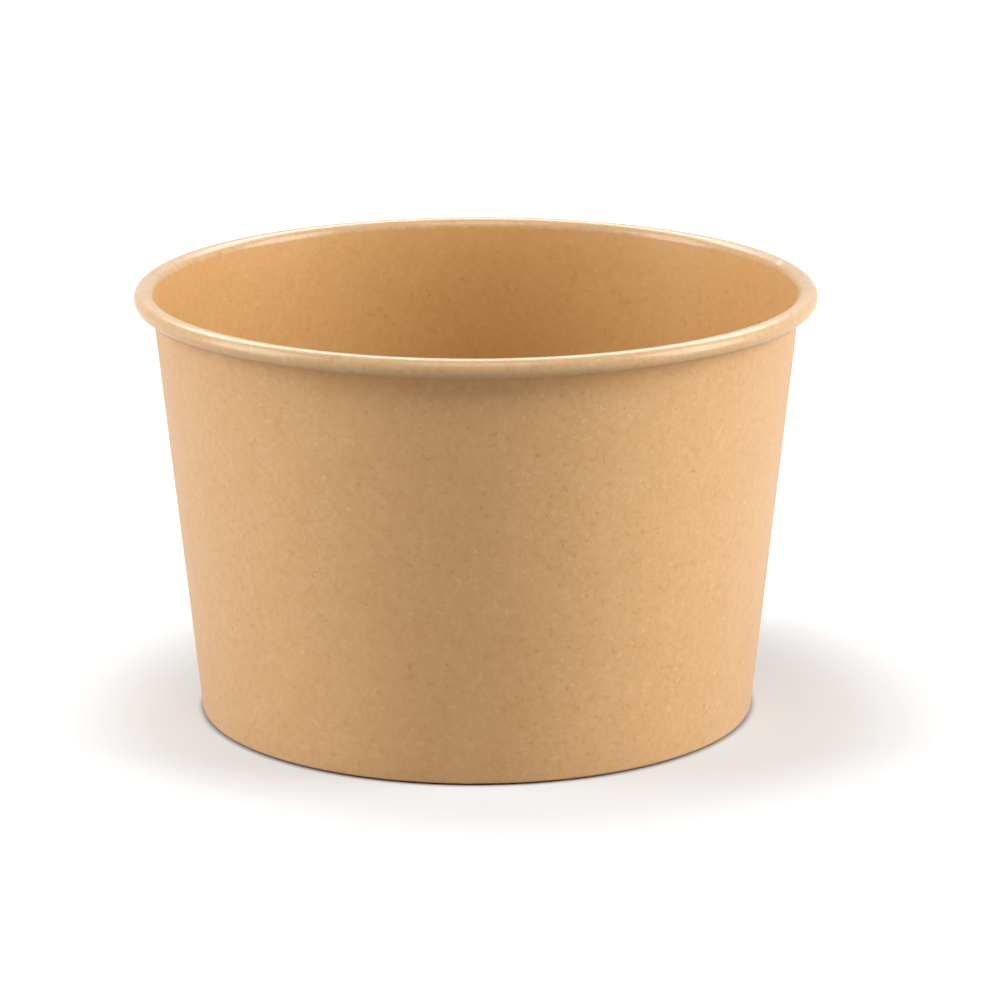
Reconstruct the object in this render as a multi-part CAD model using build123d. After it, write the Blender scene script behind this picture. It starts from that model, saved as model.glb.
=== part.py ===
"""A paper soup container: a lapped conical wall of board with a rolled rim and a folded hem,
and a base disc whose turned-down skirt is held between the wall and the hem.

Millimetres. +Z is up, and the origin is the centre of the foot, on the table.
Sections are drawn as (radius, height) and turned about Z.
"""

import os
from math import acos, atan2, cos, degrees, hypot, radians, sin, tan

from build123d import *

# Overall sizes
height = 73.0
rim_diameter = 115.0
foot_diameter = 94.0

# Board
wall_board = 0.45
base_board = 0.40
seal_gap = 0.03

# Rolled rim: the visible face's radius in each quarter of the roll, and how far the last one turns
roll_inner_radius = 1.75
roll_outer_radius = 1.65
roll_lower_radius = 1.45
roll_tail_radius = 1.40
roll_tail_angle = 40.0

# Foot: how far the hem's cut edge stays under the base disc's bend
hem_clearance = 0.20

# Base disc
floor_height = 7.90
skirt_inner_bend = 0.50

# Side seam: where the outer layer's cut edge stands, how far the layers lap, and how far the
# outer layer takes to come down past the inner layer's cut edge
seam_azimuth = 8.0
seam_lap = 8.0
seam_ramp = 2.5
lap_foot_gap = 1.2
groove_fade = 8.0
groove_end_depth = 0.04

# The wall is the straight line that rises from the foot's edge and meets the roll as a tangent,
# so the roll's first centre lies that bend's inside radius away from the line.
bend_inside = roll_inner_radius - wall_board
roll_centre = (rim_diameter / 2 - roll_outer_radius, height - roll_inner_radius)
foot_to_centre = (roll_centre[0] - foot_diameter / 2, roll_centre[1])
wall_lean = acos(bend_inside / hypot(*foot_to_centre)) - atan2(foot_to_centre[1], foot_to_centre[0])
up_wall = (sin(wall_lean), cos(wall_lean))
out_of_wall = (cos(wall_lean), -sin(wall_lean))
wall_top_z = roll_centre[1] + roll_inner_radius * sin(wall_lean)

# Layers across the foot, from the wall's outer face inwards: wall, pocket with the skirt, hem
pocket = base_board + 2 * seal_gap
hem_height = floor_height - base_board - skirt_inner_bend - hem_clearance


def wall_radius(z, depth=0.0):
    """Radius at height z of the cone that lies depth inside the wall's outer face."""
    return foot_diameter / 2 + z * tan(wall_lean) - depth / cos(wall_lean)


def seam_point(azimuth, radius, z):
    """The point at an azimuth in degrees, a radius and a height."""
    return (radius * cos(radians(azimuth)), radius * sin(radians(azimuth)), z)


def sheet_face(into_sheet):
    """The wall blank's path from the hem's cut edge to the roll's, on its food side when
    into_sheet is 0, and on its outer side when into_sheet is the board's thickness. The fold at
    the foot is sharp on the food side, so its outer side turns with the board as its radius."""
    wall_depth = wall_board - into_sheet
    hem_depth = wall_board + pocket + into_sheet
    top_distance = into_sheet - roll_inner_radius
    wall_top = (
        roll_centre[0] + top_distance * out_of_wall[0],
        roll_centre[1] + top_distance * out_of_wall[1],
    )
    corners = (
        (wall_radius(hem_height, hem_depth), hem_height),
        (wall_radius(wall_depth, hem_depth), wall_depth),
        (wall_radius(wall_depth, wall_depth), wall_depth),
        wall_top,
    )
    hem_fold_wall = FilletPolyline(*corners, radius=into_sheet) if into_sheet else Polyline(*corners)
    edges = list(hem_fold_wall.edges())
    turns = (
        (roll_inner_radius, 90 - degrees(wall_lean)),
        (roll_outer_radius, 90),
        (roll_lower_radius, 90),
        (roll_tail_radius, roll_tail_angle),
    )
    end, heading = wall_top, up_wall
    for radius, angle in turns:
        arc = JernArc(end, heading, radius - into_sheet, -angle)
        edges.append(arc)
        end, heading = arc @ 1, arc % 1
    return edges


def closed_section(*paths):
    """The face between two paths that run the same way, closed by a cut edge at each end."""
    first, second = paths
    start_cut = Line(first[0] @ 0, second[0] @ 0)
    end_cut = Line(first[-1] @ 1, second[-1] @ 1)
    return Plane.XZ * make_face([*first, *second, start_cut, end_cut])


def layer_band(low_z, high_z, inner_depth, outer_depth):
    """A conical band's section, parallel to the wall between two depths."""
    corners = (
        (wall_radius(low_z, inner_depth), low_z),
        (wall_radius(low_z, outer_depth), low_z),
        (wall_radius(high_z, outer_depth), high_z),
        (wall_radius(high_z, inner_depth), high_z),
    )
    return Plane.XZ * make_face(Polyline(*corners, close=True))


def wedge_section(z, start, end, back_depth, start_depth, end_depth):
    """A level slice between two azimuths: its face runs straight from start_depth to end_depth,
    and its back lies at back_depth."""
    corners = (
        seam_point(start, wall_radius(z, start_depth), z),
        seam_point(end, wall_radius(z, end_depth), z),
        seam_point(end, wall_radius(z, back_depth), z),
        seam_point(start, wall_radius(z, back_depth), z),
    )
    return make_face(Polyline(*corners, close=True))


def make_side_wall():
    """The wrapped blank: rolled rim, cone, folded hem and the lapped side seam."""
    wrap = revolve(closed_section(sheet_face(0.0), sheet_face(wall_board)), Axis.Z)

    mid_radius = wall_radius(height / 2)
    lap_angle = degrees(seam_lap / mid_radius)
    ramp_angle = degrees(seam_ramp / mid_radius)
    inner_edge = seam_azimuth + lap_angle
    ramp_end = inner_edge + ramp_angle
    low_z, high_z = lap_foot_gap, wall_top_z

    # The outer layer starts from the middle of the inner one, so that the two are one solid.
    bond = wall_board / 2
    lap = revolve(layer_band(low_z, high_z, bond, -wall_board), Axis.Z, lap_angle)
    lap = Rot(0, 0, seam_azimuth) * lap
    ramp = loft(
        [wedge_section(z, inner_edge, ramp_end, bond, -wall_board, 0.0) for z in (low_z, high_z)],
        ruled=True,
    )

    # Inside, the layer that ramps down leaves a groove beside the inner layer's cut edge, and
    # the roll presses the groove out.
    inside = 2 * wall_board
    groove_levels = (
        (floor_height, 0.0),
        (high_z - groove_fade, 0.0),
        (high_z, wall_board - groove_end_depth),
    )
    groove = loft(
        [
            wedge_section(z, inner_edge, ramp_end, inside, depth, wall_board)
            for z, depth in groove_levels
        ],
        ruled=True,
    )
    return wrap + lap + ramp - groove


def make_base_disc():
    """The floor: a flat disc with its edge turned down into the skirt that the hem holds."""
    skirt_outer = wall_board + seal_gap
    skirt_inner = skirt_outer + base_board
    skirt_bottom = wall_board + seal_gap
    underside = floor_height - base_board
    top_face = FilletPolyline(
        (0, floor_height),
        (wall_radius(floor_height, skirt_outer), floor_height),
        (wall_radius(skirt_bottom, skirt_outer), skirt_bottom),
        radius=skirt_inner_bend + base_board,
    )
    under_face = FilletPolyline(
        (0, underside),
        (wall_radius(underside, skirt_inner), underside),
        (wall_radius(skirt_bottom, skirt_inner), skirt_bottom),
        radius=skirt_inner_bend,
    )
    return revolve(closed_section(list(top_face.edges()), list(under_face.edges())), Axis.Z)


os.makedirs("parts", exist_ok=True)
for name, shape in (("side_wall", make_side_wall()), ("base_disc", make_base_disc())):
    export_step(shape, f"parts/{name}.step")
    print(name, "volume", round(shape.volume), "mm3")
print("wall leans", round(degrees(wall_lean), 2), "degrees, hem", round(hem_height, 2), "mm high")
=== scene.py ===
# %% [markdown]
# # A kraft paper soup container
#
# The container is made of two pieces of board. A fan-shaped blank is wrapped into a cone: its
# straight edges lap in a side seam, its top edge is rolled outwards into the rim, and its bottom
# edge is folded in and up as a hem. A round blank with a turned-down skirt is held by that hem
# and makes the floor.
#
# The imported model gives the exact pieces, in metres, with the foot's centre at the origin. Here
# they get the shapes that only a camera sees, such as the knurled hem and the wavy fold of the
# floor, and the finish of real board.

# %% Load the fixed frame
from math import acos, atan2, cos, degrees, hypot, pi, radians, sin, tan

import bpy
import numpy as np
from mathutils import Matrix, Quaternion, Vector


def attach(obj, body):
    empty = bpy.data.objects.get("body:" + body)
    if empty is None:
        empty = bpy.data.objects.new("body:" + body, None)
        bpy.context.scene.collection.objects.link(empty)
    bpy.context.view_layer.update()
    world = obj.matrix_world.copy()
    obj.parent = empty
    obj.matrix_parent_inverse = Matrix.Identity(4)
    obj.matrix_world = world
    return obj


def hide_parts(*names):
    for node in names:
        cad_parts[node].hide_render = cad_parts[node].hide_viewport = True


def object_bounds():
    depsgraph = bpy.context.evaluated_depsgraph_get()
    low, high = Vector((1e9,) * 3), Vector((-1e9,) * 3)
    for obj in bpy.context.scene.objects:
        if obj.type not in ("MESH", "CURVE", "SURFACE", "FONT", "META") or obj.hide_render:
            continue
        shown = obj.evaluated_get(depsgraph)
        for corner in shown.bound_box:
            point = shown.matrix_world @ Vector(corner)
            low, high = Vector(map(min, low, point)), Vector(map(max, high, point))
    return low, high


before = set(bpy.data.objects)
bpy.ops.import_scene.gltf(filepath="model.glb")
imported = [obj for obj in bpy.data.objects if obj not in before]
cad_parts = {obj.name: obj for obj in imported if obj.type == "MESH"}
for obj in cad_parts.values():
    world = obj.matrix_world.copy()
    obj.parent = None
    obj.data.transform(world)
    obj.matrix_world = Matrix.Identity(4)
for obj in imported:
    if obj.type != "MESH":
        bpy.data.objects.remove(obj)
cad_box = [list(corner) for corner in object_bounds()]
print("nodes:", sorted(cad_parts), "box:", cad_box)

# %% [markdown]
# ## The camera
#
# A product photograph of a small object is taken with a long lens from a little above, so that
# the rim shows as a flat ellipse and the walls hardly converge. The lens and the distance were
# found by fitting the rim's and the foot's ellipses. The camera looks at the middle of the
# container's height, and three small turns put it exactly in the frame.

# %% Camera
MM = 0.001
SENSOR = 36.0
FOCAL_LENGTH = 170.2
CAMERA_DISTANCE = 803.9 * MM
CAMERA_ELEVATION = radians(14.78)
CAMERA_PAN = radians(-0.285)
CAMERA_TILT = radians(-0.083)
CAMERA_ROLL = radians(0.164)

container_height = cad_box[1][2]
look_at = Vector((0, 0, container_height / 2))
towards_camera = Vector((0, -cos(CAMERA_ELEVATION), sin(CAMERA_ELEVATION)))


def camera_turn():
    """The turn from a camera that looks straight at the container to the fitted one: a pan about
    its own up, then a tilt about its own right, then a roll about its line of sight."""
    right = Vector((1, 0, 0))
    ahead = -towards_camera
    pan = Quaternion(right.cross(ahead), CAMERA_PAN)
    tilt = Quaternion(pan @ right, CAMERA_TILT)
    roll = Quaternion(tilt @ pan @ ahead, CAMERA_ROLL)
    return roll @ tilt @ pan


camera = bpy.data.objects.new("camera", bpy.data.cameras.new("camera"))
camera.data.sensor_width = SENSOR
camera.data.lens = FOCAL_LENGTH
camera.data.clip_start = 0.01
camera.data.clip_end = 20
straight_at = (-towards_camera).to_track_quat("-Z", "Y")
camera.matrix_world = (
    Matrix.Translation(look_at + CAMERA_DISTANCE * towards_camera)
    @ (camera_turn() @ straight_at).to_matrix().to_4x4()
)
bpy.context.scene.collection.objects.link(camera)
bpy.context.scene.camera = camera
bpy.context.scene.view_settings.view_transform = "Standard"
print("camera stands", round(CAMERA_DISTANCE, 3), "m away with a", FOCAL_LENGTH, "mm lens")

# %% [markdown]
# ## The container's sizes
#
# Drawings of board containers give the rim, the foot and the height, the board's caliper, and
# the radii of the rolled rim. Everything else follows: the wall is the straight line that leaves
# the foot's edge and runs into the roll without a kink. All of these are in millimetres, and a
# mesh is brought to metres when it is made.

# %% Sizes in millimetres
HEIGHT = container_height / MM
RIM_RADIUS = cad_box[1][0] / MM
FOOT_RADIUS = 47.0
WALL_BOARD = 0.45
BASE_BOARD = 0.40
SEAL_GAP = 0.03
ROLL_RADII = (1.75, 1.65, 1.45, 1.40)
ROLL_TAIL_ANGLE = radians(40)
FLOOR_HEIGHT = 7.90
SKIRT_BEND = 0.50
HEM_CLEARANCE = 0.20
FOLD_INSIDE = 0.04

roll_centre = (RIM_RADIUS - ROLL_RADII[1], HEIGHT - ROLL_RADII[0])
centre_from_foot = (roll_centre[0] - FOOT_RADIUS, roll_centre[1])
wall_lean = acos((ROLL_RADII[0] - WALL_BOARD) / hypot(*centre_from_foot)) - atan2(
    centre_from_foot[1], centre_from_foot[0]
)
pocket = BASE_BOARD + 2 * SEAL_GAP
hem_height = FLOOR_HEIGHT - BASE_BOARD - SKIRT_BEND - HEM_CLEARANCE
print("the wall leans", round(degrees(wall_lean), 2), "degrees, the hem is", hem_height, "mm")


def cone_radius(height, depth):
    """Radius at a height of the cone that lies depth inside the wall's outer face: the foot's
    radius, plus the height times the lean's tangent, less the depth over its cosine."""
    return FOOT_RADIUS + height * tan(wall_lean) - depth / cos(wall_lean)


# %% [markdown]
# ## A sheet's path
#
# A rolled and folded sheet is easiest to draw as a walk: so far straight on, then so much of a
# turn over such a length. The walk follows the middle of the board's thickness, and its two
# faces lie half a board to the left and right of it. A lathe profile with a list of points
# would give the same outline, but then every bend would have to be worked out by hand, and the
# walk also tells how far along the flat blank each point was before it was bent.

# %% Walk along a path


def walk(start, heading, moves):
    """Stations of a walk, one row each: radius, height, heading and distance walked.

    A move is (length, turn, steps). After part p of it, the place has moved by a chord. Its
    length is p times the move's length times sin(a/2)/(a/2), where a is the part of the turn
    made so far, and it points halfway through a. With no turn, that is a straight run.
    """
    rows = [np.array([[*start, heading, 0.0]])]
    for length, turn, steps in moves:
        radius, height, heading, walked = rows[-1][-1]
        part = np.linspace(0, 1, steps + 1)[1:]
        chord = length * part * np.sinc(turn * part / (2 * pi))
        bearing = heading + turn * part / 2
        rows.append(
            np.column_stack(
                [
                    radius + chord * np.cos(bearing),
                    height + chord * np.sin(bearing),
                    heading + turn * part,
                    walked + length * part,
                ]
            )
        )
    return np.vstack(rows)


def arc(radius, turn, steps):
    """A move round a bend: its length is its radius times its turn."""
    return (radius * abs(turn), turn, steps)


# %% The wall blank's walk: down the hem, round the foot, up the wall and round the roll


def wall_walk():
    """The middle of the wall's board, from the hem's cut edge to the cut edge inside the roll."""
    half = WALL_BOARD / 2
    bend = FOLD_INSIDE + half
    hem_depth = WALL_BOARD + pocket + half
    hem_corner = cone_radius(half, hem_depth)
    wall_corner = cone_radius(half, half)
    first_turn, second_turn = pi / 2 + wall_lean, pi / 2 - wall_lean
    first_cut, second_cut = bend * tan(first_turn / 2), bend * tan(second_turn / 2)

    hem_run = (hem_height - half) / cos(wall_lean) - first_cut
    foot_run = wall_corner - hem_corner - first_cut - second_cut
    wall_top = roll_centre[1] + (ROLL_RADII[0] - half) * sin(wall_lean)
    wall_run = (wall_top - half) / cos(wall_lean) - second_cut

    turns = (second_turn, pi / 2, pi / 2, ROLL_TAIL_ANGLE)
    steps = (8, 8, 6, 3)
    roll = [arc(r - half, -turn, n) for r, turn, n in zip(ROLL_RADII, turns, steps)]
    moves = [
        (hem_run, 0, 6),
        arc(bend, first_turn, 5),
        (foot_run, 0, 1),
        arc(bend, second_turn, 5),
        (wall_run, 0, 14),
        *roll,
    ]
    start = (cone_radius(hem_height, hem_depth), hem_height)
    return walk(start, -first_turn, moves), np.cumsum([0] + [move[0] for move in moves])


wall_path, wall_marks = wall_walk()
print("blank", round(wall_marks[-1], 1), "mm wide, top at", round(wall_path[:, 1].max(), 2))

# %% [markdown]
# ## Two faces and their edges
#
# A sheet of board has two faces and a cut edge all round. Both faces are the same grid of
# stations along the path and columns round the container, so one function can join them into a
# closed shell. Blender's Solidify could thicken a single face, but then the two layers of a lap
# couldn't be pressed thinner in one place than in another.

# %% Join two grids into a closed shell


def cells(numbers):
    """The quads of a grid of vertex numbers: each cell's four corners in order."""
    corners = (numbers[:-1, :-1], numbers[:-1, 1:], numbers[1:, 1:], numbers[1:, :-1])
    return np.stack(corners, -1).reshape(-1, 4)


def shell(rows, columns, turned):
    """Faces of a sheet whose food face is the first grid of vertices and whose outer face is the
    second, and the number of each face's finish: 0 outer, 1 food side and 2 cut edge. A turned
    sheet closes on itself and has its first row joined to a pole in each face's middle."""
    food = np.arange(rows * columns).reshape(rows, columns)
    outer = food + rows * columns
    if turned:
        food, outer = (np.hstack([grid, grid[:, :1]]) for grid in (food, outer))
    edges = [cells(np.stack([food[-1], outer[-1]]))]
    poles = []
    if turned:
        food_pole, outer_pole = 2 * rows * columns, 2 * rows * columns + 1
        fan = np.full(columns, food_pole), food[0, 1:], food[0, :-1]
        back_fan = np.full(columns, outer_pole), outer[0, :-1], outer[0, 1:]
        poles = [(np.stack(fan, 1), 1), (np.stack(back_fan, 1), 0)]
    else:
        edges.append(cells(np.stack([outer[0], food[0]])))
        edges.append(cells(np.stack([outer[:, -1], food[:, -1]], 1)))
        edges.append(cells(np.stack([food[:, 0], outer[:, 0]], 1)))
    parts = [(cells(food), 1), (cells(outer)[:, ::-1], 0), (np.vstack(edges), 2), *poles]
    faces = [face for corners, _ in parts for face in corners.tolist()]
    finishes = np.concatenate([np.full(len(corners), finish) for corners, finish in parts])
    return faces, finishes


def shell_volume(points, faces):
    """Volume inside a closed shell: each triangle's corners span a box with the origin, and a
    sixth of the boxes' signed volumes adds up to it. It is positive if the faces point out."""
    triangles = [(f[0], f[i], f[i + 1]) for f in faces for i in range(1, len(f) - 1)]
    a, b, c = points[np.array(triangles)].transpose(1, 0, 2)
    return float(np.einsum("ij,ij->", a, np.cross(b, c)) / 6)


def make_piece(name, points, faces, finishes, blank, rolled):
    """A mesh object in metres with smooth bends and sharp cut edges. Its UV map "blank" holds
    each point's place on the flat blank in millimetres, and "rolled" is 1 on the rolled rim."""
    mesh = bpy.data.meshes.new(name)
    mesh.from_pydata((points * MM).tolist(), [], faces)
    mesh.polygons.foreach_set("material_index", finishes.astype(np.int32))
    corners = np.empty(len(mesh.loops), np.int32)
    mesh.loops.foreach_get("vertex_index", corners)
    mesh.uv_layers.new(name="blank").uv.foreach_set(
        "vector", blank[corners].astype(np.float32).ravel()
    )
    mesh.attributes.new("rolled", "FLOAT", "POINT").data.foreach_set(
        "value", rolled.astype(np.float32)
    )
    mesh.shade_smooth()
    mesh.set_sharp_from_angle(angle=radians(45))
    mesh.validate()
    piece = bpy.data.objects.new(name, mesh)
    bpy.context.scene.collection.objects.link(piece)
    count = sum(len(face) - 2 for face in faces)
    print(name, count, "triangles,", round(shell_volume(points, faces)), "mm3")
    return piece


# %% [markdown]
# ## The side wall
#
# The blank goes once round and laps over its own beginning. The layers lie on each other up the
# wall, and are pressed to about one thickness where they are folded and rolled, or the rim
# couldn't be rolled round. The blank's place is a function of the angle wound so far and the
# distance along the path. Where the second layer begins, the board lifts by one thickness over
# a short ramp. Rollers press the hem against the skirt with fine upright ribs, which show when
# the container is picked up.

# %% How the blank is wound
SEAM_AZIMUTH = radians(8.0)
SEAM_LAP = 8.0
SEAM_RAMP = 2.5
LAYER_GAP = 0.01
HEM_LAP_LIFT, FOOT_LAP_LIFT, ROLL_LAP_LIFT = 0.30, 0.225, 0.12
PRESSED_ABOVE_FOOT = 6.0
PRESSED_NEAR_ROLL = 3.0
TURN_COLUMNS, RAMP_COLUMNS, LAP_COLUMNS = 720, 10, 18

# Ribs on the hem, and how far from the cut edge and from the fold they start
RIBS = 120
RIB_DEPTH = 0.07
RIB_FROM_EDGE, RIB_FROM_FOLD, RIB_FADE = 0.3, 0.1, 0.7

# The rim's waves, and the power of the height by which they grow above the stiff foot
OUT_OF_ROUND = 0.12
OUT_OF_ROUND_GROWTH = 1.5

# Where the die irons the board, and the heading at which the roll turns under
IRONED_BEFORE_ROLL, IRONED_ON_ROLL = 0.5, 1.0
UNDER_ROLL = radians(-125)

mid_radius = cone_radius(HEIGHT / 2, 0)
lap_angle, ramp_angle = SEAM_LAP / mid_radius, SEAM_RAMP / mid_radius
inner_edge = SEAM_AZIMUTH + lap_angle
hem_end, foot_end, roll_start = wall_marks[1], wall_marks[4], wall_marks[5]
print("lap and ramp take", np.degrees([lap_angle, ramp_angle]).round(2), "degrees")


def smooth(value, start, end):
    """0 before start, 1 after end, and 3x^2 - 2x^3 between them."""
    x = np.clip((value - start) / (end - start), 0, 1)
    return x * x * (3 - 2 * x)


def out_of_round(azimuth):
    """How far the rim is pulled in, from 0 to 1: a mix of two, three and five waves a turn,
    divided by the sum of their heights."""
    waves = np.cos(2 * azimuth + 0.6) + 0.7 * np.cos(3 * azimuth + 2.1)
    waves += 0.4 * np.cos(5 * azimuth + 4.0)
    return 0.5 + 0.5 * waves / 2.1


def blank_places(radius_on_blank, wound):
    """Places on the flat blank. A cone unrolls to a fan: a point's distance from the fan's tip
    stays, and the angle wound shrinks by the sine of the wall's lean."""
    fan_angle = wound * sin(wall_lean)
    return np.stack([radius_on_blank * np.sin(fan_angle), radius_on_blank * np.cos(fan_angle)], -1)


# %% Layers of the lap and ribs of the hem


def winding():
    """The angle wound at each column: round to the ramp, up the ramp, and on over the lap."""
    ramp_start = 2 * pi - ramp_angle
    return np.concatenate(
        [
            np.linspace(0, ramp_start, TURN_COLUMNS + 1)[:-1],
            np.linspace(ramp_start, 2 * pi, RAMP_COLUMNS + 1)[:-1],
            np.linspace(2 * pi, 2 * pi + lap_angle, LAP_COLUMNS + 1),
        ]
    )


def lapped_layers(walked, wound):
    """Depth of the food face, and the board's thickness. The lift is how far the second layer
    lies over the first: a board and a gap up the wall, and less where the lap is pressed. The
    food face is at the lift times how far the ramp has risen. Both layers of the lap are as
    thick as the lift less the gap, and the rest is as thick as the board."""
    marks = [0, hem_end, foot_end, foot_end + PRESSED_ABOVE_FOOT]
    marks += [roll_start - PRESSED_NEAR_ROLL, roll_start + PRESSED_NEAR_ROLL]
    lifts = [HEM_LAP_LIFT, FOOT_LAP_LIFT, FOOT_LAP_LIFT]
    lifts += [WALL_BOARD + LAYER_GAP] * 2 + [ROLL_LAP_LIFT]
    lift = np.interp(walked, marks, lifts)

    second_layer = smooth(wound, 2 * pi - ramp_angle, 2 * pi)
    under_lap = 1 - smooth(wound, lap_angle, lap_angle + ramp_angle / 2)
    lapped = np.maximum(second_layer, under_lap)
    return lift * second_layer, WALL_BOARD + lapped * (lift - LAYER_GAP - WALL_BOARD)


def hem_ribs(walked, azimuth):
    """How deep the ribs are pressed: a cosine wave round the hem that fades out towards the cut
    edge and towards the fold."""
    rib_end = hem_end - RIB_FROM_FOLD
    on_hem = smooth(walked, RIB_FROM_EDGE, RIB_FROM_EDGE + RIB_FADE)
    on_hem = on_hem * (1 - smooth(walked, rib_end - RIB_FADE, rib_end))
    return RIB_DEPTH * on_hem * (0.5 + 0.5 * np.cos(RIBS * azimuth))


# %% Side wall


def make_side_wall():
    """The wound blank as two grids, its food face and its outer face. Depth is measured from the
    food side of the first layer. A point lies its depth, less half a board, out of the path
    along the path's normal, and the rim's waves pull it in. The roll's crown gets finish 3."""
    wound = winding()
    azimuth = inner_edge - wound
    radius, height, heading, walked = (column[:, None] for column in wall_path.T)
    growth = (height / HEIGHT) ** OUT_OF_ROUND_GROWTH
    pulled_in = OUT_OF_ROUND * out_of_round(azimuth) * growth
    food_depth, thickness = lapped_layers(walked, wound)

    grids = []
    for depth in (food_depth, food_depth + thickness - hem_ribs(walked, azimuth)):
        from_middle = depth - WALL_BOARD / 2
        r = radius + from_middle * np.sin(heading) - pulled_in
        z = height - from_middle * np.cos(heading) + 0 * azimuth
        grids.append(np.stack([r * np.cos(azimuth), r * np.sin(azimuth), z], -1))
    points = np.concatenate([grid.reshape(-1, 3) for grid in grids])

    rows, columns = grids[0].shape[:2]
    faces, finishes = shell(rows, columns, turned=False)
    past_start = np.round(walked[:-1, 0] - roll_start, 6) >= 0
    on_crown = np.repeat(past_start & (heading[:-1, 0] > UNDER_ROLL), columns - 1)
    finishes[: len(on_crown)][on_crown] = 3

    fan_radius = mid_radius / sin(wall_lean) + walked - walked.mean()
    blank = blank_places(fan_radius, wound[None, :]).reshape(-1, 2)
    rolled = smooth(walked, roll_start - IRONED_BEFORE_ROLL, roll_start + IRONED_ON_ROLL)
    rolled = (rolled + 0 * azimuth).ravel()
    return make_piece(
        "side_wall_board", points, faces, finishes, np.tile(blank, (2, 1)), np.tile(rolled, 2)
    )


side_wall = make_side_wall()
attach(side_wall, "root")
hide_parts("side_wall")

# %% [markdown]
# ## The floor
#
# The base disc is pressed from a flat round blank. Its rim is turned down into the skirt, and
# because the blank's edge has to grow shorter there, it gathers in many small waves round the
# bend. The middle sags by a fraction of a millimetre. It is turned from its own walk: out from
# the middle, round the bend and down the skirt.

# %% Base disc
PUCKERS = 96
PUCKER_DEPTH = 0.05
PUCKERS_RISE, PUCKERS_FALL = (-2.0, 0.2), (0.6, 1.6)
FLOOR_SAG = 0.25
SAG_RADIUS = 42.0
POLE_RADIUS = 1.5


def base_walk():
    """The middle of the base disc's board, from just beside its centre to the skirt's edge."""
    half = BASE_BOARD / 2
    bend = SKIRT_BEND + half
    skirt_depth = WALL_BOARD + SEAL_GAP + half
    turn = pi / 2 + wall_lean
    cut = bend * tan(turn / 2)
    flat_run = cone_radius(FLOOR_HEIGHT - half, skirt_depth) - cut - POLE_RADIUS
    skirt_bottom = WALL_BOARD + SEAL_GAP
    skirt_run = (FLOOR_HEIGHT - half - skirt_bottom) / cos(wall_lean) - cut
    moves = [(flat_run, 0, 12), arc(bend, -turn, 8), (skirt_run, 0, 3)]
    return walk((POLE_RADIUS, FLOOR_HEIGHT - half), 0.0, moves), flat_run


def puckers(azimuth):
    """Uneven waves round the bend, from 0 to 1: a wave whose phase and height wander slowly."""
    phase = PUCKERS * azimuth + 1.7 * np.sin(3 * azimuth + 1) + 1.1 * np.sin(8 * azimuth)
    strength = 0.65 + 0.35 * np.sin(5 * azimuth + 2) * np.sin(11 * azimuth)
    return strength * (0.5 + 0.5 * np.cos(phase))


def make_base_disc():
    """The disc as two turned grids, with a pole in the middle of each face. The puckers rise
    and fall over two stretches of the path, measured from where the bend begins."""
    path, flat_run = base_walk()
    azimuth = -np.linspace(0, 2 * pi, TURN_COLUMNS + 1)[:-1]
    radius, height, heading, walked = (column[:, None] for column in path.T)
    from_bend = walked - flat_run
    at_bend = smooth(from_bend, *PUCKERS_RISE) * (1 - smooth(from_bend, *PUCKERS_FALL))
    sink = PUCKER_DEPTH * at_bend * puckers(azimuth)
    sag = FLOOR_SAG * (1 - smooth(radius, 0, SAG_RADIUS))

    grids = []
    for depth in (0.0, BASE_BOARD):
        from_middle = depth - BASE_BOARD / 2 + sink
        r = radius + from_middle * np.sin(heading)
        z = height - from_middle * np.cos(heading) - sag
        grids.append(np.stack([r * np.cos(azimuth), r * np.sin(azimuth), z], -1))
    rows, columns = grids[0].shape[:2]
    faces, finishes = shell(rows, columns, turned=True)
    poles = [(0, 0, FLOOR_HEIGHT - FLOOR_SAG), (0, 0, FLOOR_HEIGHT - FLOOR_SAG - BASE_BOARD)]
    points = np.concatenate([*(grid.reshape(-1, 3) for grid in grids), poles])

    flat_radius = walked + POLE_RADIUS
    blank = np.stack([flat_radius * np.cos(azimuth), flat_radius * np.sin(azimuth)], -1)
    blank = np.concatenate([np.tile(blank.reshape(-1, 2), (2, 1)), np.zeros((2, 2))])
    rolled = np.zeros(len(points))
    return make_piece("base_disc_board", points, faces, finishes, blank, rolled)


base_disc = make_base_disc()
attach(base_disc, "root")
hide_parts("base_disc")

# %% [markdown]
# ## Kraft board
#
# Unbleached kraft is brown because its fibres keep their lignin. Close up it is a felt of
# fibres: soft clouds a few millimetres wide, where the pulp lay thicker, single curled fibres a
# millimetre or two long, lighter or darker than the rest, and a few dark flecks of bark. The
# pattern could be a photograph of board, but it is drawn here from noise instead, so that it has
# no edge and can be read at any distance. It lies on the flat blank, as the real one did before
# the blank was bent, so it runs unbroken over the rim and round the foot.
#
# A fibre is drawn in the cell of a Voronoi pattern. Each cell gives a middle and three random
# numbers. The place is measured from the middle, turned by a random angle and bent into a bow,
# and the fibre is where it lies close to the bow and not too far along it.

# %% Helpers for nodes


def add_node(tree, kind, inputs=None, **settings):
    """One node of a material. An input that is another node's socket is linked to it, and a
    plain value is written on the input."""
    node = tree.nodes.new("ShaderNode" + kind)
    for name, value in settings.items():
        setattr(node, name, value)
    for key, source in (inputs or {}).items():
        if isinstance(source, bpy.types.NodeSocket):
            tree.links.new(source, node.inputs[key])
        else:
            node.inputs[key].default_value = source
    return node


def calc(tree, operation, *values):
    """A Math node's result."""
    return add_node(tree, "Math", dict(enumerate(values)), operation=operation).outputs[0]


def fading(tree, value, start, end):
    """1 where the value is under start, 0 over end, and smooth between them."""
    inputs = {"Value": value, "From Min": start, "From Max": end, "To Min": 1.0, "To Max": 0.0}
    return add_node(tree, "MapRange", inputs, interpolation_type="SMOOTHSTEP").outputs[0]


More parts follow.
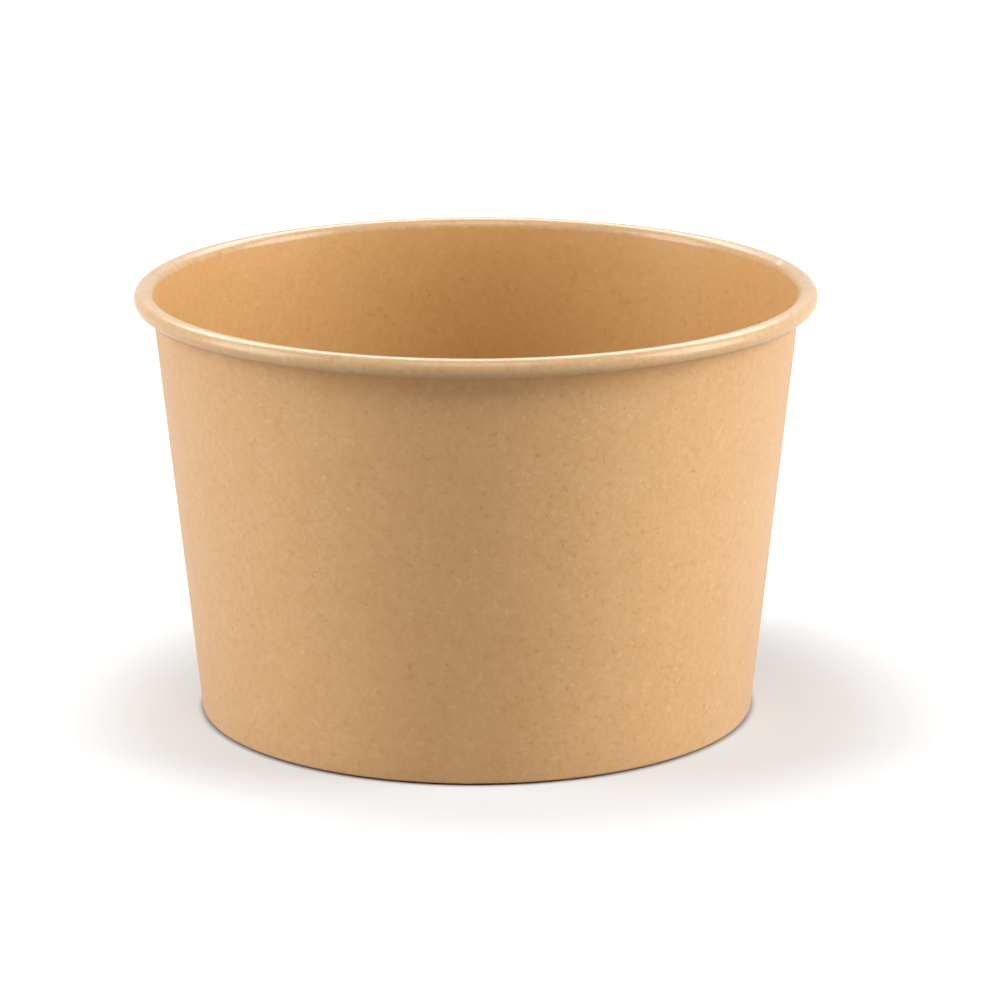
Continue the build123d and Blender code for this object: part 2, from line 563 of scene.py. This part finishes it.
def shift(tree, place, by):
    """The place moved by a vector."""
    return add_node(tree, "VectorMath", {0: place, 1: by}, operation="ADD").outputs[0]


def cloud(tree, place, size, detail=2.0, seed=0.0):
    """Soft noise between about -0.5 and 0.5, with lumps of a size in millimetres. The seed
    moves the place, so that two clouds of one size differ."""
    moved = shift(tree, place, (seed, 0.6 * seed, 0))
    inputs = {"Vector": moved, "Scale": 1 / size, "Detail": detail}
    noise = add_node(tree, "TexNoise", inputs, noise_dimensions="2D").outputs[0]
    return calc(tree, "SUBTRACT", noise, 0.5)


# %% Curled fibres


def fibres(tree, place, cell, half_length, half_width, bow, seed):
    """Signed strength of one set of fibres: +1 on the middle of the lightest, -1 on the darkest.

    With (x, y) measured from the cell's middle along and across the fibre, the fibre is where
    |x| is under its length and |y - k x^2| is under its width, and k is its random bow. Its
    length is 0.3 to 1 times the greatest, and it fades out sideways and towards its ends."""
    shifted = shift(tree, place, (seed, 0.7 * seed, 0))
    cells_of = {"Vector": shifted, "Scale": 1 / cell}
    voronoi = add_node(tree, "TexVoronoi", cells_of, voronoi_dimensions="2D").outputs
    random = add_node(tree, "SeparateColor", {0: voronoi["Color"]}).outputs
    from_middle = add_node(
        tree, "VectorMath", {0: shifted, 1: voronoi["Position"]}, operation="SUBTRACT"
    ).outputs[0]
    turned = add_node(
        tree,
        "VectorRotate",
        {"Vector": from_middle, "Angle": calc(tree, "MULTIPLY", random[0], 2 * pi)},
        rotation_type="Z_AXIS",
    ).outputs[0]
    local = add_node(tree, "SeparateXYZ", {0: turned}).outputs
    curl = calc(tree, "MULTIPLY", calc(tree, "SUBTRACT", random[1], 0.5), 2 * bow)
    bend = calc(tree, "MULTIPLY", curl, calc(tree, "POWER", local[0], 2.0))
    across = calc(tree, "ABSOLUTE", calc(tree, "SUBTRACT", local[1], bend))
    along = calc(tree, "ABSOLUTE", local[0])
    length = calc(tree, "MULTIPLY_ADD", random[2], 0.7 * half_length, 0.3 * half_length)
    on_width = fading(tree, across, 0.2 * half_width, half_width)
    on_length = fading(tree, calc(tree, "DIVIDE", along, length), 0.6, 1.0)
    middle = {"Vector": voronoi["Position"]}
    tone = add_node(tree, "TexWhiteNoise", middle, noise_dimensions="2D").outputs["Value"]
    tone = calc(tree, "MULTIPLY_ADD", tone, 2.0, -1.0)
    return calc(tree, "MULTIPLY", tone, calc(tree, "MULTIPLY", on_width, on_length))


# %% The pattern that all the board shares
FIBRE_SETS = (
    # cell, half length, half width, bow, seed; strength
    ((3.8, 1.60, 0.28, 0.4, 11.3), 0.50),
    ((2.5, 1.00, 0.34, 0.6, 47.1), 0.70),
    ((1.7, 0.60, 0.32, 0.9, 83.9), 0.70),
)
COARSE_RELIEF, FIBRE_RELIEF = 0.5, 0.7
WANDER_SCALE, WANDER = 0.9, 0.9
CLOUDS = (
    # size, strength, seed
    (7.0, 0.6, 13.0),
    (1.6, 1.0, 51.0),
)
GRAIN_SIZE, GRAIN_STRENGTH, GRAIN_SEED = 1.0, 0.8, 97.0
FLECK_CELL, FLECK_SIZE, FLECK_STRENGTH = 5.0, 0.07, 1.2


def board_pattern():
    """A node group: from a place on the blank to how light the board is there, and how high.
    The tone adds three sets of fibres, two sizes of cloud, a grain and the dark flecks. The
    relief is the two finer sets of fibres and the grain. Slow noise makes the fibres wander."""
    group = bpy.data.node_groups.new("kraft_felt", "ShaderNodeTree")
    group.interface.new_socket("Place", in_out="INPUT", socket_type="NodeSocketVector")
    group.interface.new_socket("Tone", in_out="OUTPUT", socket_type="NodeSocketFloat")
    group.interface.new_socket("Relief", in_out="OUTPUT", socket_type="NodeSocketFloat")
    place = group.nodes.new("NodeGroupInput").outputs[0]

    wander = {"Vector": place, "Scale": WANDER_SCALE, "Detail": 1.0}
    wander = add_node(group, "TexNoise", wander, noise_dimensions="2D").outputs["Color"]
    warped = {0: wander, 1: (WANDER, WANDER, 0.0), 2: place}
    warped = add_node(group, "VectorMath", warped, operation="MULTIPLY_ADD").outputs[0]
    strands = [fibres(group, warped, *shape) for shape, _ in FIBRE_SETS]
    felt = 0.0
    for strand, (_, strength) in zip(strands, FIBRE_SETS):
        felt = calc(group, "MULTIPLY_ADD", strand, strength, felt)

    clouds = 0.0
    for size, strength, seed in CLOUDS:
        lumps = cloud(group, place, size, seed=seed)
        clouds = calc(group, "MULTIPLY_ADD", lumps, strength, clouds)
    grain = cloud(group, place, GRAIN_SIZE, seed=GRAIN_SEED)
    cells_of = {"Vector": place, "Scale": 1 / FLECK_CELL}
    flecks = add_node(group, "TexVoronoi", cells_of, voronoi_dimensions="2D").outputs
    fleck_size = add_node(group, "SeparateColor", {0: flecks["Color"]}).outputs[0]
    fleck_size = calc(group, "MULTIPLY", calc(group, "POWER", fleck_size, 3.0), FLECK_SIZE)
    fleck = fading(group, calc(group, "DIVIDE", flecks["Distance"], fleck_size), 0.5, 1.0)

    tone = calc(group, "MULTIPLY_ADD", grain, GRAIN_STRENGTH, felt)
    tone = calc(group, "ADD", clouds, tone)
    tone = calc(group, "MULTIPLY_ADD", fleck, -FLECK_STRENGTH, tone)
    raised = calc(group, "MULTIPLY_ADD", strands[1], COARSE_RELIEF, strands[2])
    relief = calc(group, "MULTIPLY_ADD", raised, FIBRE_RELIEF, grain)
    output = group.nodes.new("NodeGroupOutput")
    group.links.new(tone, output.inputs[0])
    group.links.new(relief, output.inputs[1])
    return group


kraft_felt = board_pattern()
print("kraft_felt has", len(kraft_felt.nodes), "nodes")

# %% [markdown]
# ## Finishes
#
# Four finishes share the pattern. The outside is bare, lightly calendered kraft: matt, with a
# soft sheen where light grazes it. The food side carries a thin clear lining, which makes it
# smoother and a little deeper in colour. A cut edge shows the board's paler, open inside. The
# crown of the rolled rim is the food side too, but the curling die stretches and irons it: the
# fibres lie down, the board turns a shade paler and the lining shines, which a clear coat over
# the board gives. One finish whose gloss rises on the rim could do the same. Separate ones keep
# each number plain, and each can be changed alone.

# %% Board finishes
BARE_DARK, BARE_LIGHT = (0.62, 0.30, 0.075, 1), (0.81, 0.49, 0.225, 1)
LINED_DARK, LINED_LIGHT = (0.57, 0.30, 0.082, 1), (0.755, 0.47, 0.212, 1)
ROLL_DARK, ROLL_LIGHT = (0.55, 0.31, 0.12, 1), (0.72, 0.47, 0.24, 1)
EDGE_DARK, EDGE_LIGHT = (0.58, 0.36, 0.19, 1), (0.80, 0.58, 0.36, 1)
SWELL_SIZE, SWELL_HEIGHT, SWELL_SEED = 11.0, 0.06 * MM, 33.0
FIBRE_HEIGHT = 0.026 * MM
FIBRE_ROUGHNESS = 0.08
SHEEN_ROUGHNESS = 0.62
COAT_ROUGHNESS = 0.22
ROLL_PRESSED = 0.9
ROLL_CALM = 0.5
OUTSIDE, FOOD_SIDE, CUT_SIDE = (0, 0, 0), (900, 0, 0), (0, 900, 0)


def board_finish(name, colours, roughness, specular, contrast, bump, side, sheen=0.0, coat=0.0):
    """A board material. Its colour runs from dark to light by the felt's tone times the contrast.
    Where fibres stand up it is a little rougher, and its bump adds them to slow swells. On the
    rolled rim the contrast is halved and the fibres are nearly flat. The side is a vector that
    takes each side of the board to its own part of the pattern."""
    dark, light = colours
    material = bpy.data.materials.new(name)
    material.use_nodes = True
    tree = material.node_tree
    shader = tree.nodes["Principled BSDF"]
    place = shift(tree, add_node(tree, "UVMap", uv_map="blank").outputs[0], side)
    felt = add_node(tree, "Group", {}, node_tree=kraft_felt)
    tree.links.new(place, felt.inputs[0])

    rolled = add_node(tree, "Attribute", attribute_name="rolled").outputs["Fac"]
    unrolled = calc(tree, "SUBTRACT", 1.0, rolled)
    calm = calc(tree, "MULTIPLY_ADD", rolled, -ROLL_CALM * contrast, contrast)
    tone = calc(tree, "MULTIPLY_ADD", felt.outputs["Tone"], calm, 0.5)
    colour = add_node(tree, "Mix", {0: tone, 6: dark, 7: light}, data_type="RGBA")
    tree.links.new(colour.outputs[2], shader.inputs["Base Color"])
    standing = calc(tree, "MULTIPLY", felt.outputs["Relief"], unrolled)
    rough = calc(tree, "MULTIPLY_ADD", standing, FIBRE_ROUGHNESS, roughness)
    tree.links.new(rough, shader.inputs["Roughness"])
    shader.inputs["Specular IOR Level"].default_value = specular
    shader.inputs["Sheen Weight"].default_value = sheen
    shader.inputs["Sheen Roughness"].default_value = SHEEN_ROUGHNESS
    shader.inputs["Coat Weight"].default_value = coat
    shader.inputs["Coat Roughness"].default_value = COAT_ROUGHNESS

    swell = cloud(tree, place, SWELL_SIZE, detail=1.0, seed=SWELL_SEED)
    pressed = calc(tree, "MULTIPLY_ADD", rolled, -ROLL_PRESSED * bump, bump)
    height = calc(tree, "MULTIPLY", felt.outputs["Relief"], FIBRE_HEIGHT)
    height = calc(tree, "MULTIPLY", height, pressed)
    height = calc(tree, "MULTIPLY_ADD", swell, SWELL_HEIGHT, height)
    bumped = add_node(tree, "Bump", {"Height": height, "Distance": 1.0})
    tree.links.new(bumped.outputs[0], shader.inputs["Normal"])
    return material


bare_kraft = board_finish(
    "bare_kraft",
    colours=(BARE_DARK, BARE_LIGHT),
    roughness=0.50,
    specular=0.35,
    contrast=0.38,
    bump=1.0,
    side=OUTSIDE,
    sheen=0.30,
)
lined_kraft = board_finish(
    "lined_kraft",
    colours=(LINED_DARK, LINED_LIGHT),
    roughness=0.46,
    specular=0.22,
    contrast=0.28,
    bump=0.6,
    side=FOOD_SIDE,
)
cut_edge = board_finish(
    "cut_edge",
    colours=(EDGE_DARK, EDGE_LIGHT),
    roughness=0.80,
    specular=0.22,
    contrast=0.8,
    bump=1.0,
    side=CUT_SIDE,
)
rolled_kraft = board_finish(
    "rolled_kraft",
    colours=(ROLL_DARK, ROLL_LIGHT),
    roughness=0.45,
    specular=0.22,
    contrast=0.8,
    bump=1.2,
    side=FOOD_SIDE,
    coat=0.52,
)
for material in (bare_kraft, lined_kraft, cut_edge):
    base_disc.data.materials.append(material)
for material in (bare_kraft, lined_kraft, cut_edge, rolled_kraft):
    side_wall.data.materials.append(material)
print("finishes:", [material.name for material in side_wall.data.materials])

# %% [markdown]
# ## Floor and backdrop
#
# The container stands on seamless white paper, which a photographer lights until it is pure
# white. That much light would wash out the board's colour too. So the paper is a grey here that
# the softboxes light and the container shades, and a glow is added to it that only the camera
# and reflections see. The glow is weaker near the foot and grows with the distance from it, so
# it paints a soft shade round the foot on top of the real shadow, and the rest is white. The
# middle of this painted shade is set a little to the right of the foot and towards the camera.
# A folded edge is never quite flat, so the paper lies a little under the foot. Right at the
# foot's edge the glow is taken away, which paints a thin dark line where the two meet, on top of
# the real shade of the gap. The backdrop is white in the same way, and lights nothing.

# %% Floor and world
FLOOR_SIZE = 6.0
FOOT_GAP = 0.25 * MM
FLOOR_COLOUR = (0.45, 0.45, 0.45, 1)

# The glow's strength near the foot and far from it, and the distances between which it grows,
# measured from the middle of the painted shade round the foot. The painted contact line's are
# measured from the foot's middle.
GLOW_NEAR, GLOW_FAR = 0.36, 1.0
GLOW_START, GLOW_END = 47 * MM, 105 * MM
PAINTED_SHADE_MIDDLE = (6 * MM, -8 * MM, 0)
PAINTED_CONTACT_START, PAINTED_CONTACT_END = 46.7 * MM, 48.1 * MM


def seen_only(tree):
    """1 for the rays by which the camera and reflections see, and 0 for those that light."""
    rays = add_node(tree, "LightPath").outputs
    seen = calc(tree, "MAXIMUM", rays["Is Camera Ray"], rays["Is Glossy Ray"])
    return calc(tree, "MAXIMUM", seen, rays["Is Transmission Ray"])


floor_mesh = bpy.data.meshes.new("floor")
half = FLOOR_SIZE / 2
floor_corners = [(-half, -half), (half, -half), (half, half), (-half, half)]
floor_mesh.from_pydata([(x, y, -FOOT_GAP) for x, y in floor_corners], [], [(0, 1, 2, 3)])
floor = bpy.data.objects.new("floor", floor_mesh)
bpy.context.scene.collection.objects.link(floor)

paper = bpy.data.materials.new("white_paper")
paper.use_nodes = True
paper.node_tree.nodes.clear()
paper_tree = paper.node_tree
on_floor = add_node(paper_tree, "TexCoord").outputs["Object"]
from_foot = add_node(paper_tree, "VectorMath", {0: on_floor}, operation="LENGTH").outputs[1]
moved = shift(paper_tree, on_floor, [-length for length in PAINTED_SHADE_MIDDLE])
from_shadow = add_node(paper_tree, "VectorMath", {0: moved}, operation="LENGTH").outputs[1]
# Painted shade: the glow is weaker near the foot, which darkens the floor there beyond its real
# shadow.
painted_shade_round_foot = fading(paper_tree, from_shadow, GLOW_START, GLOW_END)
glow = calc(paper_tree, "MULTIPLY_ADD", painted_shade_round_foot, GLOW_NEAR - GLOW_FAR, GLOW_FAR)
# Painted shade: no glow in a thin ring at the foot's edge, a painted dark line over the real shade
# of the gap.
painted_contact_line = fading(paper_tree, from_foot, PAINTED_CONTACT_START, PAINTED_CONTACT_END)
glow = calc(paper_tree, "MULTIPLY_ADD", painted_contact_line, -GLOW_NEAR, glow)
glow = calc(paper_tree, "MULTIPLY", glow, seen_only(paper_tree))
diffuse = add_node(paper_tree, "BsdfDiffuse", {"Color": FLOOR_COLOUR})
emission = add_node(paper_tree, "Emission", {"Strength": glow})
both = add_node(paper_tree, "AddShader", {0: diffuse.outputs[0], 1: emission.outputs[0]})
add_node(paper_tree, "OutputMaterial", {"Surface": both.outputs[0]})
floor_mesh.materials.append(paper)

world = bpy.data.worlds.new("backdrop")
world.use_nodes = True
bpy.context.scene.world = world
world_tree = world.node_tree
backdrop = world_tree.nodes["Background"]
backdrop.inputs["Color"].default_value = (1, 1, 1, 1)
world_tree.links.new(seen_only(world_tree), backdrop.inputs["Strength"])

# %% [markdown]
# ## Lights
#
# Two tall softboxes stand at the sides, the right one stronger. They brighten both flanks and
# leave the middle of the wall darker. A smaller one hangs in front and above: it lights the
# middle and the inside, and puts the wall under the rim into shadow. The highlights along the
# rim come from a wide box behind the container. It could be a plain lamp too, but then it would
# throw the container's shadow towards the camera, so only reflections see it.

# %% Softboxes
SOFTBOX_DISTANCE = 1.1


def softbox(name, azimuth, elevation, width, tall, radiance, only_gloss=False):
    """An area light aimed at the container. Azimuth 0 is the camera's side and 90 the right. A
    lamp's power is its radiance times pi times its area."""
    out = Vector(
        (
            sin(radians(azimuth)) * cos(radians(elevation)),
            -cos(radians(azimuth)) * cos(radians(elevation)),
            sin(radians(elevation)),
        )
    )
    data = bpy.data.lights.new(name, "AREA")
    data.shape = "RECTANGLE"
    data.size, data.size_y = width, tall
    data.energy = radiance * pi * width * tall
    lamp = bpy.data.objects.new(name, data)
    lamp.location = look_at + SOFTBOX_DISTANCE * out
    lamp.rotation_mode = "QUATERNION"
    lamp.rotation_quaternion = (-out).to_track_quat("-Z", "Y")
    lamp.visible_camera = False
    lamp.visible_diffuse = not only_gloss
    bpy.context.scene.collection.objects.link(lamp)
    print(name, round(data.energy, 1), "W")
    return lamp


softbox("left_softbox", -82, 24, width=0.6, tall=0.9, radiance=6.6)
softbox("right_softbox", 80, 24, width=0.6, tall=0.9, radiance=8.1)
softbox("front_softbox", 0, 60, width=0.6, tall=0.5, radiance=4.1)
softbox("overhead_softbox", 180, 50, width=1.8, tall=0.45, radiance=8.4, only_gloss=True)
